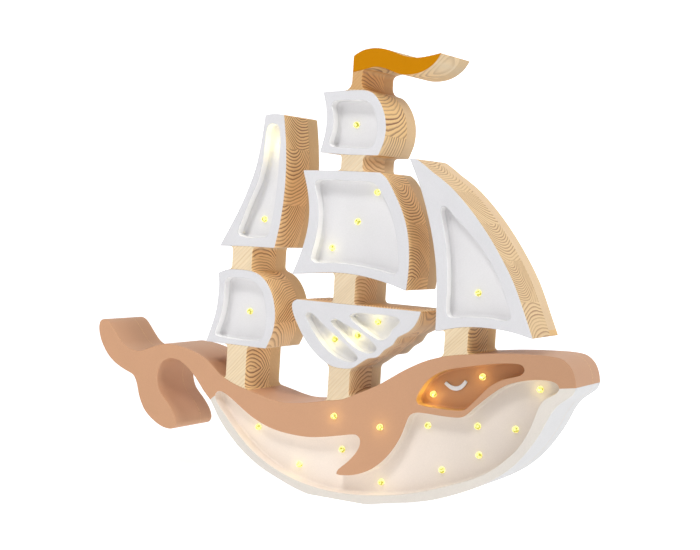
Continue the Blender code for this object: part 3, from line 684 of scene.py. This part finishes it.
def bare_pine(name, seed, paleness, contrast, width, shade, above=1e4, tint=(1, 1, 1)):
    """Oiled pine: pale where the cut runs along the grain, golden with dark rings where it crosses it.

    Above some height a piece has a tint: on the main mast's staff darker wood with painted shadow
    under the pennant, on the upper fore mast a paler tone that is painted light.
    """
    tree = Tree(name)
    wander, year, radius, layer, chance = growth_rings(tree, seed, width)
    facing = tree.vector("DOT_PRODUCT", tree.coordinates.outputs["Normal"], (0.7071, 0, 0.7071))
    crossed = tree.math("MINIMUM", tree.times(tree.math("ABSOLUTE", facing), 1.45), 1.0)
    late = tree.curve(year, [(0.0, 0.0), (0.46, 0.03), (0.66, 0.6), (0.79, 1.0), (0.93, 1.0), (1.0, 0.0)])
    vigour = tree.curve(tree.noise(tree.join(radius, 3.0, 7.0), 0.13, 2.0), [(0.36, 0.45), (0.60, 1.0)])
    late = tree.times(late, vigour)
    late = tree.times(late, tree.minus(contrast, tree.times(layer, 0.8 * contrast)))
    x, y, z = tree.split(wander)
    fibre = tree.noise(tree.join(tree.times(x, 0.25), y, z), 1.6, 3.0, 0.6)
    # Paleness: the rear layer is paler wood, and a piece's own paleness is partly painted light.
    light = tree.plus(paleness, tree.times(layer, 0.2))
    early = tree.blend(light, (0.81, 0.66, 0.45), (0.68, 0.56, 0.42))
    pale = tree.blend(tree.times(late, 0.55), early, (0.66, 0.46, 0.24))
    gold = tree.blend(late, tree.blend(light, (0.93, 0.64, 0.30), (0.76, 0.62, 0.45)),
                      tree.blend(light, (0.24, 0.085, 0.025), (0.62, 0.34, 0.15)))
    colour = tree.blend(crossed, pale, gold)
    stave_tint = tree.blend(chance[2], (0.95, 0.93, 0.91), (1.0, 1.0, 1.0))
    colour = tree.tinted(colour, stave_tint)
    colour = tree.blend(layer, colour, tree.tinted(colour, (0.86, 0.82, 0.76)))
    colour = tree.tinted(colour, tree.curve(fibre, [(0.3, 0.92), (0.7, 1.06)]))
    # Painted shade and light: one brightness factor for the whole piece, partly its own tone.
    colour = tree.tinted(colour, (shade,) * 3)
    # Above a height a tint: painted shadow with darker wood on the main mast's staff, painted light on the
    # upper fore mast.
    upper = tree.math("GREATER_THAN", tree.split(millimetres(tree))[2], above)
    colour = tree.blend(upper, colour, tree.tinted(colour, tint))
    height = tree.plus(tree.times(late, 0.6), tree.times(fibre, 0.4))
    tree.bump(height, 0.10 * MM, 0.8)
    roughness = tree.minus(0.66, tree.times(late, 0.14))
    return tree.set(Base_Color=colour, Roughness=roughness, Specular_IOR_Level=0.35)


def painted(name, colour, shade=0.95, roughness=0.52, gloss=0.3, prow_shade=1.0):
    """Matte water-based paint on pine: a faint roller texture, with the grain just telling through.

    The last argument is painted shade along the ship: the paint keeps that share of its lightness
    at the front end, where less light falls, and all of it towards the tail.
    """
    tree = Tree(name)
    _, year, _, _, _ = growth_rings(tree, 0)
    place = millimetres(tree)
    late = tree.curve(year, [(0.0, 0.0), (0.6, 0.1), (0.88, 1.0), (1.0, 0.0)])
    cloud = tree.noise(place, 0.02, 3.0, 0.55)
    speck = tree.noise(place, 1.1, 2.0, 0.6)
    dark = tuple(c * shade for c in colour)
    tone = tree.blend(tree.curve(cloud, [(0.3, 0.0), (0.7, 1.0)]), dark, colour)
    tone = tree.tinted(tone, tree.curve(speck, [(0.3, 0.975), (0.7, 1.02)]))
    tone = tree.blend(tree.times(late, 0.10), tone, tuple(c * 0.93 for c in colour))
    # Painted shade: darker towards the front end of the ship, down to the share the last argument gives.
    forward = tree.curve(tree.math("DIVIDE", tree.split(place)[0], HIGH[0]), [(0.1, 1.0), (0.8, prow_shade)])
    tone = tree.tinted(tone, forward)
    height = tree.plus(tree.times(speck, 0.5), tree.times(late, 0.35))
    tree.bump(height, 0.045 * MM, 0.7)
    rough = tree.plus(roughness - 0.06, tree.times(cloud, 0.12))
    return tree.set(Base_Color=tone, Roughness=rough, Specular_IOR_Level=gloss)


def lit_lens():
    """Clear yellow epoxy lit from within, with darker flecks round the chip."""
    tree = Tree("lit_led_lens")
    place = millimetres(tree)
    x, y, z = tree.split(place)
    radius = tree.vector("LENGTH", tree.join(tree.minus(x, 0.9), 0.0, tree.plus(z, 0.2)))
    share = tree.math("DIVIDE", radius, 3.0)
    collar = tree.curve(share, [(0.08, 0.0), (0.24, 1.0), (0.55, 1.0), (0.85, 0.1)])
    own = tree.node("ObjectInfo").outputs["Location"]
    moved = tree.vector("ADD", place, tree.vector("MULTIPLY", own, (170.0,) * 3))
    flecks = tree.noise(moved, 0.55, 1.0)
    dark = tree.times(collar, tree.curve(flecks, [(0.42, 0.0), (0.56, 1.0)]))
    glow = tree.blend(dark, (0.95, 0.94, 0.36), (0.46, 0.42, 0.04))
    foot = tree.curve(tree.math("DIVIDE", tree.plus(y, LED_PROUD), LED_PROUD), [(0.65, 0.0), (0.9, 1.0)])
    return tree.set(Base_Color=tree.blend(0.5, glow, (0.0, 0.0, 0.0)), Emission_Color=glow, Roughness=0.12,
                    Emission_Strength=tree.plus(0.78, tree.times(foot, 0.7)))


def moulded(name, colour, roughness=0.45, grain=3.0, depth=0.03):
    """Moulded plastic with a fine spark-eroded texture."""
    tree = Tree(name)
    place = millimetres(tree)
    texture = tree.noise(place, grain, 2.0, 0.6)
    tone = tree.blend(texture, tuple(c * 0.8 for c in colour), tuple(min(c * 1.2, 1) for c in colour))
    tree.bump(texture, depth * MM, 0.8)
    rough = tree.plus(roughness - 0.08, tree.times(tree.noise(place, 0.3), 0.16))
    return tree.set(Base_Color=tone, Roughness=rough)


def zinc():
    tree = Tree("zinc_plate")
    place = millimetres(tree)
    spangle = tree.noise(place, 1.4, 3.0, 0.6)
    tone = tree.blend(spangle, (0.50, 0.52, 0.55), (0.78, 0.79, 0.80))
    rough = tree.curve(spangle, [(0.3, 0.22), (0.7, 0.42)])
    tree.bump(spangle, 0.01 * MM, 0.5)
    return tree.set(Base_Color=tone, Roughness=rough, Metallic=1.0)


def board():
    """Circuit board: green solder mask with faint tracks under it."""
    tree = Tree("solder_mask")
    x, y, z = tree.split(millimetres(tree))
    lanes = tree.math("ABSOLUTE", tree.math("SINE", tree.times(tree.plus(x, z), 1.3)))
    tracks = tree.curve(lanes, [(0.78, 0.0), (0.86, 1.0)])
    tone = tree.blend(tracks, (0.012, 0.11, 0.035), (0.03, 0.21, 0.08))
    tree.bump(tracks, 0.03 * MM, 0.6)
    rough = tree.plus(0.25, tree.times(tracks, 0.1))
    return tree.set(Base_Color=tone, Roughness=rough)


def sleeve():
    """A cell's printed sleeve: a dark body with a plain gold band at one end."""
    tree = Tree("cell_sleeve")
    place = millimetres(tree)
    scuff = tree.noise(place, 0.8, 3.0)
    band = tree.math("GREATER_THAN", tree.split(place)[0], 22.0)
    tone = tree.blend(band, (0.035, 0.035, 0.04), (0.55, 0.36, 0.12))
    tone = tree.tinted(tone, tree.curve(scuff, [(0.3, 0.9), (0.7, 1.05)]))
    rough = tree.curve(scuff, [(0.3, 0.22), (0.7, 0.35)])
    return tree.set(Base_Color=tone, Roughness=rough, Metallic=0.6)


# For each piece of wood: the seed of its growth rings, how pale it is, the contrast of the rings and
# their width in mm, a shade, and where its upper part has another tone, that height in mm and a tint.
# The shade is partly the board's own tone and partly painted shade and light, set for how much light
# falls on each piece; the paleness of the jib and the main mast is partly painted light. The tint
# darkens the main mast's staff, darker wood with painted shadow under the pennant, and pales the
# upper fore mast, painted light.
WOOD = {"mizzen_upper_sail": (21, 0.1, 1.0, 2.3, 1.06), "mizzen_lower_sail": (2, 0.15, 1.0, 2.3, 1.06),
        "top_sail": (3, 0.0, 1.0, 3.8, 0.84), "main_sail": (14, 0.1, 1.0, 2.1, 1.06),
        "fan_sail": (5, 0.1, 0.9, 2.1, 1.06), "jib_sail": (16, 0.35, 0.9, 2.6, 0.83),
        "pennant": (8, -0.1, 1.0, 3.0, 0.77), "mizzen_mast": (20, 0.1, 1.0, 2.2, 0.99),
        "main_mast": (14, 0.35, 1.0, 2.2, 0.96, 335, (0.80, 0.58, 0.35)),
        "fore_mast": (20, -0.2, 1.0, 2.4, 0.94, 153, (0.97, 1.10, 1.55)),
        "hull": (0, 0.0, 1.0, 2.6, 1.06)}
PINE = {piece: bare_pine(piece + "_pine", *kind) for piece, kind in WOOD.items()}
# Hull brown, with painted shade towards the front end of the ship.
BROWN = painted("tan_brown_paint", (0.575, 0.315, 0.18), 0.97, prow_shade=0.86)
# Painted shade: a darker copy of the hull brown for the floor of the eye's hollow.
EYE_SHADED_BROWN = painted("eye_shaded_brown_paint", (0.47, 0.215, 0.09), 0.97)
WHITE = painted("cool_white_paint", (0.665, 0.66, 0.68))
# Painted light: a much lighter copy of the sails' white for the hollows' walls, where LEDs and lamps light
# them.
LIT_WALL_WHITE = painted("lit_wall_white_paint", (0.92, 0.91, 0.91))
# Painted light: a lighter copy of the sails' white for the hollows' floors.
LIT_FLOOR_WHITE = painted("lit_floor_white_paint", (0.735, 0.725, 0.735))
HULL_WHITE = painted("hull_white_paint", (0.70, 0.655, 0.60))
# Painted shade: a darker, cooler copy of the hull's white for the hull's lower sides.
SHADED_SIDE_WHITE = painted("shaded_side_white_paint", (0.61, 0.61, 0.62))
# Painted light: the hull brown made more orange on the eye's wall, where its LEDs light it.
EYE_WALL_GLOW = painted("eye_wall_glow_paint", (0.58, 0.32, 0.10), 0.97)
# Painted light: the hull's white made warm cream where the belly's LEDs light it, with painted shade
# towards the front end.
LED_LIT_WHITE = painted("cream_paint", (0.91, 0.805, 0.715), prow_shade=0.74)
OCHRE = painted("ochre_paint", (0.53, 0.205, 0.0), 0.97, gloss=0.05)
LENS = lit_lens()
SHRINK = moulded("heat_shrink", (0.03, 0.03, 0.03), 0.6)
COVER = moulded("cover_plastic", (0.045, 0.045, 0.047), 0.5, 2.2, 0.05)
HOLDER = moulded("holder_plastic", (0.02, 0.02, 0.02), 0.5)
SWITCH = moulded("switch_plastic", (0.03, 0.03, 0.032), 0.4)
BUTTON = moulded("button_plastic", (0.52, 0.035, 0.025), 0.34, 1.2, 0.012)
WIRE = moulded("wire_insulation", (0.55, 0.03, 0.025), 0.42, 1.5, 0.015)
ZINC = zinc()


# ---------------------------------------------------------------- LEDs

def led_nodes():
    return sorted(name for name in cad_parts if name.startswith("led_"))


def led_place(node):
    """Middle of an LED, and the depth of the floor that it stands on."""
    return middle_of(node), depths_of(node)[0] + LED_PROUD


def leds_in(host):
    return [led_place(node) for node in led_nodes() if node.startswith(f"led_{host}_")]


def make_led(node):
    """A dome, a flange and a sleeve over the legs, with the origin on the floor around the dome."""
    centre, floor = led_place(node)
    end = depths_of(node)[1] - floor
    profile = arc_profile(0, LED_RADIUS - LED_PROUD, LED_RADIUS, 90, 0, 9)
    flange = 7.4 - LED_PROUD
    profile += [(LED_RADIUS, 0), (LED_RADIUS, flange - 0.2), (FLANGE_RADIUS, flange),
                (FLANGE_RADIUS, flange + 1), (1.5, flange + 1), (1.5, end), (0, end)]
    marks = [0] * (len(profile) - 4) + [1] * 3
    stand_for(revolved(node + "_lens", profile, centre, [LENS, SHRINK], marks, 28, floor), node)


# ---------------------------------------------------------------- wooden pieces

def pocket(solid, loop, fillet, wall_paint, floor_paint, wood, host):
    """A hollow with its wall, filleted floor and the bores of the LEDs that stand in it."""
    inner = loop[::-1]
    homes = [(centre, level) for centre, level in leds_in(host)
             if level > LED_PROUD and inside([centre], inner)[0]]
    floor = homes[0][1]
    solid.sheath(loop, EDGE, floor - fillet, wall_paint)
    holes = [bore_at(centre) for centre, _ in homes]
    solid.cap([inner, *holes], floor - fillet, floor_paint, -1, fillet, 1, [inner])
    for (centre, _), hole in zip(homes, holes):
        rim = floor - fillet + quarter(distance_to(hole, [inner]), fillet)
        solid.bore(centre, rim, floor, wood)


def make_sail(node):
    outer, *hollows = plane_loops(node, 0)
    outer = sanded(refined(outer))
    hollows = [refined(loop) for loop in hollows]
    wood, front, wall, floor = range(4)
    # The hollows' walls and floors take lighter copies of the white: painted light.
    solid = Solid([PINE[node], WHITE, LIT_WALL_WHITE, LIT_FLOOR_WHITE])
    solid.slab([outer, *hollows], 0, LAYER, EDGE, JOINT, wood, front)
    for loop in hollows:
        pocket(solid, loop, SAIL_FILLET, wall, floor, wood, node)
    stand_for(solid.build(node + "_block"), node)
    return outer


def nearest(loop, point):
    return int(np.argmin(np.hypot(*(np.asarray(loop) - point).T)))


def make_hull():
    """Both layers of the hull, brown above a line from the nose to the tail notch and white below."""
    faces = plane_loops("hull_front", 0)
    outer, belly, eye = sanded(refined(faces[0])), refined(faces[1]), refined(faces[2])
    nose = int(np.argmax(outer[:, 0]))
    notch = nearest(outer, belly[np.argmin(belly[:, 0])])
    below = (nose - notch) % len(outer)
    brown, white, side, cream, eye_wall, eye_floor, wood = range(7)
    materials = [BROWN, HULL_WHITE, SHADED_SIDE_WHITE, LED_LIT_WHITE, EYE_WALL_GLOW, EYE_SHADED_BROWN, PINE["hull"]]
    # The lower sides take the darker copy of the white: painted shade.
    marks = [side if (i - notch) % len(outer) < below else brown for i in range(len(outer))]
    seams = [seam(outer[nose], belly[np.argmax(belly[:, 0])]),
             seam(outer[notch], belly[np.argmin(belly[:, 0])])]
    flush = [(centre, level) for centre, level in leds_in("hull_front") if level < LED_PROUD]

    def paint_of(parts, middles):
        """White for the strip of rim above the base, and brown for the rest of the face."""
        strip = parts[nearest(middles, ABOVE_BASE)]
        return [white if part == strip else brown for part in parts]

    front = Solid(materials)
    holes = [bore_at(centre) for centre, _ in flush]
    front.cap([outer, belly, eye, *holes], EDGE, brown, -1, EDGE, -1, [outer, belly, eye], seams, paint_of)
    front.sheath(outer, EDGE, LAYER - JOINT, marks)
    for centre, level in flush:
        front.bore(centre, level, level, wood)
    # The belly's hollow takes the warm copy of the white: painted LED light.
    pocket(front, belly, HULL_FILLET, cream, cream, wood, "hull_front")
    # The eye's floor takes the darker brown: painted shade.
    # The eye's wall takes the more orange brown: painted LED light.
    pocket(front, eye, HULL_FILLET, eye_wall, eye_floor, wood, "hull_front")
    cavity = np.array(plane_loops("hull_rear", LAYER + GAP)[1])
    front.cap([outer, cavity], LAYER - JOINT, wood, 1, JOINT, 1, [outer])
    front.sheath(cavity, LAYER - 2, LAYER, wood)
    front.cap([cavity[::-1]], LAYER - 2, wood, 1)
    stand_for(front.build("hull_front_carved"), "hull_front")

    recess = np.array(plane_loops("hull_rear", DEPTH)[1])
    cover_near, cover_far = depths_of("battery_cover")
    ledge = DEPTH - cover_far + cover_near - GAP
    pilots = [circle(place, PILOT_RADIUS, 20) for place in screw_places()]
    rear = Solid(materials)
    rear.cap([outer, cavity], REAR + JOINT, wood, -1, JOINT, -1, [outer])
    rear.sheath(outer, REAR + JOINT, DEPTH - EDGE, marks)
    rear.cap([outer, recess], DEPTH - EDGE, wood, 1, EDGE, 1, [outer])
    rear.sheath(recess, ledge, DEPTH, wood)
    rear.cap([recess[::-1], cavity, *pilots], ledge, wood, 1)
    rear.sheath(cavity, REAR, ledge, wood)
    for hole in pilots:
        rear.sheath(hole, DEPTH - PILOT_DEPTH, ledge, wood)
        rear.cap([hole[::-1]], DEPTH - PILOT_DEPTH, wood, 1)
    stand_for(rear.build("hull_rear_carved"), "hull_rear")
    return outer


def seam(start, end):
    """A paint line across a rim, with points where the rounded edges bend."""
    start, end = np.asarray(start), np.asarray(end)
    length = math.dist(start, end)
    rounds = [EDGE * share for share in ROUND]
    stops = [0, *rounds, *[length - r for r in rounds[::-1]], length]
    return [start + (end - start) * stop / length for stop in stops]


def make_mast(node, carried, sails, hull, pennant):
    """A mast: the rear layer of its sails in one plate with the posts, and the posts' front parts."""
    posts = []
    for stub in plane_loops(node, 0):
        (left, low), (right, high) = np.min(stub, 0), np.max(stub, 0)
        low, high = low - POST_REACH, high + POST_REACH
        posts.append(np.array([(left, low), (right, low), (right, high), (left, high)]))
    narrow = min(posts, key=lambda post: np.ptp(post[:, 0]))
    has_staff = np.ptp(narrow[:, 0]) < STAFF_WIDTH
    staff_foot = narrow[:, 1].min()

    def reach_of(point, turn):
        if turn > 0:
            return 0
        return STAFF_FLARE if has_staff and abs(point[1] - staff_foot) < STAFF_FLARE else FLARE

    def only_first(flags):
        return flags[0] and not flags[1:].any()

    blocks = [sails[name] for name in carried]
    others = [hull, pennant] if has_staff else [hull]
    whole = softened(combined([*blocks, *others, *posts], np.any)[0], reach_of)
    solid = Solid([PINE[node]])
    for loop in combined([whole, *others, *blocks], only_first):
        if area(loop) > SLIVER and any(overlaps(loop, post) for post in posts):
            solid.slab([loop], 0, LAYER, EDGE * 0.6, JOINT, 0, 0)
    plate = combined([whole, *others], only_first)[0]
    solid.slab([plate], REAR, DEPTH, JOINT, EDGE, 0, 0)
    stand_for(solid.build(node + "_plate"), node)


def overlaps(loop, post):
    """Whether a loop's middle lies in a post's rectangle or close to it."""
    middle = np.asarray(loop).mean(0)
    return bool((middle > post.min(0) - 4).all() and (middle < post.max(0) + 4).all())


def make_pennant():
    outer = sanded(refined(plane_loops("pennant", 0)[0]))
    solid = Solid([PINE["pennant"], OCHRE])
    solid.slab([outer], 0, LAYER, EDGE, JOINT, 0, 1)
    solid.slab([outer], REAR, DEPTH, JOINT, EDGE, 0, 0)
    stand_for(solid.build("pennant_flag"), "pennant")
    return outer


def make_eyelid():
    near, far = depths_of("eyelid")
    outer = softened(refined(plane_loops("eyelid", near)[0]), lambda point, turn: 0.5)
    solid = Solid([WHITE])
    solid.cap([outer], near + 0.3, 0, -1, 0.3, -1)
    solid.sheath(outer, near + 0.3, far, 0)
    solid.cap([outer], far, 0, 1)
    stand_for(solid.build("eyelid_crescent"), "eyelid")


# ---------------------------------------------------------------- cover, screws and button

def screw_places():
    return [middle_of(f"cover_screw_{number}") for number in range(1, 5)]


def make_cover():
    """The battery cover: round corners, countersunk holes and a groove round the button."""
    low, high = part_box("battery_cover")
    near = depths_of("battery_cover")[0]
    outer = rounded_box(np.array((low.x, low.z)) / MM, np.array((high.x, high.z)) / MM, 2.2)
    middle = middle_of("power_button")
    window = circle(middle, 7.1, 48)
    groove_in, groove_out = circle(middle, 9.0, 48), circle(middle, 10.0, 48)
    solid = Solid([COVER])
    wide = [circle(place, HEAD_RADIUS + 0.3) for place in screw_places()]
    slim = [circle(place, PILOT_RADIUS) for place in screw_places()]
    solid.cap([outer, window, *slim], near, 0, -1)
    solid.sheath(outer, near, DEPTH - 0.5, 0)
    solid.cap([outer, groove_out, *wide], DEPTH - 0.5, 0, 1, 0.5, 1, [outer])
    solid.sheath(groove_out, DEPTH - 0.6, DEPTH, 0)
    solid.cap([groove_out[::-1], groove_in], DEPTH - 0.6, 0, 1)
    solid.sheath(groove_in[::-1], DEPTH - 0.6, DEPTH, 0)
    solid.cap([groove_in[::-1], window], DEPTH, 0, 1)
    solid.sheath(window, near, DEPTH, 0)
    for small, large in zip(slim, wide):
        solid.sheath(small, near, DEPTH - 2, 0)
        solid.wall(small, DEPTH - 2, large, DEPTH - 0.3, 0)
        solid.sheath(large, DEPTH - 0.3, DEPTH, 0)
    stand_for(solid.build("battery_cover_plate"), "battery_cover")


def cross(centre, arm, half):
    """An anticlockwise plus sign."""
    arms = [(half, -arm), (half, -half), (arm, -half)]
    points = []
    for _ in range(4):
        points += arms
        arms = [(-z, x) for x, z in arms]
    points.sort(key=lambda point: math.atan2(point[1], point[0]))
    return np.array(points) + centre


def make_screw(number, place):
    """A countersunk screw with a cross recess."""
    face = DEPTH - 0.2
    solid = Solid([ZINC])
    rings = [(0.35, face - 12), (1.1, face - 10.6), (SCREW_RADIUS, face - 10), (SCREW_RADIUS, face - 1.9),
             (HEAD_RADIUS - 0.2, face - 0.5), (HEAD_RADIUS, face - 0.3), (HEAD_RADIUS, face - 0.1),
             (HEAD_RADIUS - 0.15, face)]
    loops = [(circle(place, radius)[::-1], depth) for radius, depth in rings]
    solid.cap([loops[0][0]], loops[0][1], 0, -1)
    for (near, near_depth), (far, far_depth) in zip(loops, loops[1:]):
        solid.wall(near, near_depth, far, far_depth, 0)
    plus = cross(place, 1.7, 0.34)
    solid.cap([loops[-1][0], plus[::-1]], face, 0, 1)
    solid.sheath(plus[::-1], face - 1.1, face, 0)
    solid.cap([plus], face - 1.1, 0, 1)
    stand_for(solid.build(f"cover_screw_{number}_head"), f"cover_screw_{number}")


def make_button():
    """The push button, with a hollow for the fingertip."""
    low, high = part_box("power_button")
    near, far = depths_of("power_button")
    wide = (high.x - low.x) / 2 / MM
    skirt = DEPTH - 2.8
    cap = 6.5
    bend = 0.8
    profile = [(0, near), (2.8, near), (3, near + 0.2), (3, skirt - 1.4), (wide - 0.2, skirt - 1.4),
               (wide, skirt - 1.2), (wide, skirt - 0.2), (wide - 0.2, skirt), (cap, skirt)]
    profile += arc_profile(cap - bend, far - bend, bend, 0, -90, 3)
    profile += [(4.9, far), (4.4, far - 0.15), (3.2, far - 0.5), (1.6, far - 0.72), (0, far - bend)]
    obj = revolved("power_button_cap", profile, middle_of("power_button"), [BUTTON], sides=56)
    stand_for(obj, "power_button", "button")


def dress_inner_parts():
    """The CAD solids inside the hull and the wires stay, with finished materials."""
    cell = sleeve()
    dress = {"battery_holder": HOLDER, "control_board": board(), "switch_body": SWITCH}
    dress.update({f"battery_cell_{number}": cell for number in (1, 2, 3)})
    dress.update({name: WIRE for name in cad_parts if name.endswith("_harness")})
    for node, material in dress.items():
        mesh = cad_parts[node].data
        mesh.materials.clear()
        mesh.materials.append(material)


# ---------------------------------------------------------------- studio

def make_camera():
    """The photograph's view: 72 mm lens, a little to the right and above, and slightly rolled."""
    azimuth, elevation, roll = (math.radians(a) for a in (29.09227, 2.86523, 3.49432))
    data = bpy.data.cameras.new("camera")
    data.lens = 72
    data.sensor_width = 36
    data.clip_start = 0.01
    camera = linked("camera", data)
    camera.matrix_world = (Matrix.Translation((0.58209, -1.02032, 0.24160))
                           @ Matrix.Rotation(azimuth, 4, "Z")
                           @ Matrix.Rotation(math.pi / 2 - elevation, 4, "X")
                           @ Matrix.Rotation(roll, 4, "Z"))
    bpy.context.scene.camera = camera


def make_light(name, place, size, power):
    """A round soft light aimed at the middle of the lamp."""
    data = bpy.data.lights.new(name, "AREA")
    data.shape = "DISK"
    data.size = size
    data.energy = power
    light = linked(name, data)
    light.location = place
    light.rotation_euler = (Vector((0, 0, 0.17)) - Vector(place)).to_track_quat("-Z", "Y").to_euler()
    light.visible_camera = False


def make_glow():
    """The light that each LED throws on the wood around it."""
    for node in led_nodes():
        (x, z), floor = led_place(node)
        data = bpy.data.lights.new(node + "_glow", "POINT")
        data.energy = NEAR_GLOW.get(node, GLOW)
        data.color = (1.0, 0.86, 0.34)
        data.shadow_soft_size = 0.0018
        light = linked(node + "_glow", data)
        light.location = (x * MM, (FRONT + floor - LED_PROUD - 1.5) * MM, z * MM)
        light.visible_camera = False
        light.visible_glossy = False


def make_studio():
    """A white sweep that curves up behind the lamp, and large soft lights."""
    work = bmesh.new()
    half, near, far, curve = 6.0, -6.0, 3.0, 1.5
    angles = [math.radians(9 * k) for k in range(11)]
    bend = [(far + curve * math.sin(angle), curve * (1 - math.cos(angle))) for angle in angles]
    profile = [(near, 0.0), *bend, (far + curve, 6.0)]
    rows = [[work.verts.new((side * half, y, z)) for side in (-1, 1)] for y, z in profile]
    for (a, b), (c, d) in zip(rows, rows[1:]):
        work.faces.new((a, b, d, c))
    mesh = bpy.data.meshes.new("sweep")
    work.to_mesh(mesh)
    work.free()
    mesh.shade_smooth()
    sweep = linked("sweep", mesh)
    paper = Tree("paper")
    far_away = paper.math("DIVIDE", paper.split(paper.coordinates.outputs["Object"])[1], far)
    lit = paper.curve(far_away, [(0.2, 0.72), (0.7, 1.0)])
    mesh.materials.append(paper.set(Base_Color=(0.55, 0.55, 0.55, 1), Roughness=0.9,
                                    Emission_Color=(1, 1, 1, 1), Emission_Strength=lit))
    world = bpy.data.worlds.new("studio")
    world.use_nodes = True
    background = world.node_tree.nodes["Background"]
    background.inputs["Color"].default_value = (1, 1, 1, 1)
    background.inputs["Strength"].default_value = 0.22
    bpy.context.scene.world = world
    bpy.context.scene.view_settings.view_transform = "Standard"
    make_light("key", (-0.2, -1.4, 1.85), 0.6, 19.5)
    make_light("front", (-0.6, -2.1, 0.6), 1.2, 2.3)
    make_light("left", (-0.9, -1.3, 0.5), 0.8, 2.0)
    make_light("right", (2.1, -0.25, 1.55), 1.1, 25.5)
    make_light("top", (0.4, -0.6, 2.3), 1.2, 6.5)


for node in led_nodes():
    make_led(node)
sail_outlines = {node: make_sail(node) for node in SAILS}
hull_outline = make_hull()
pennant_outline = make_pennant()
for node, carried in MASTS.items():
    make_mast(node, carried, sail_outlines, hull_outline, pennant_outline)
make_eyelid()
make_cover()
for number, place in enumerate(screw_places(), 1):
    make_screw(number, place)
make_button()
dress_inner_parts()
make_camera()
make_glow()
make_studio()
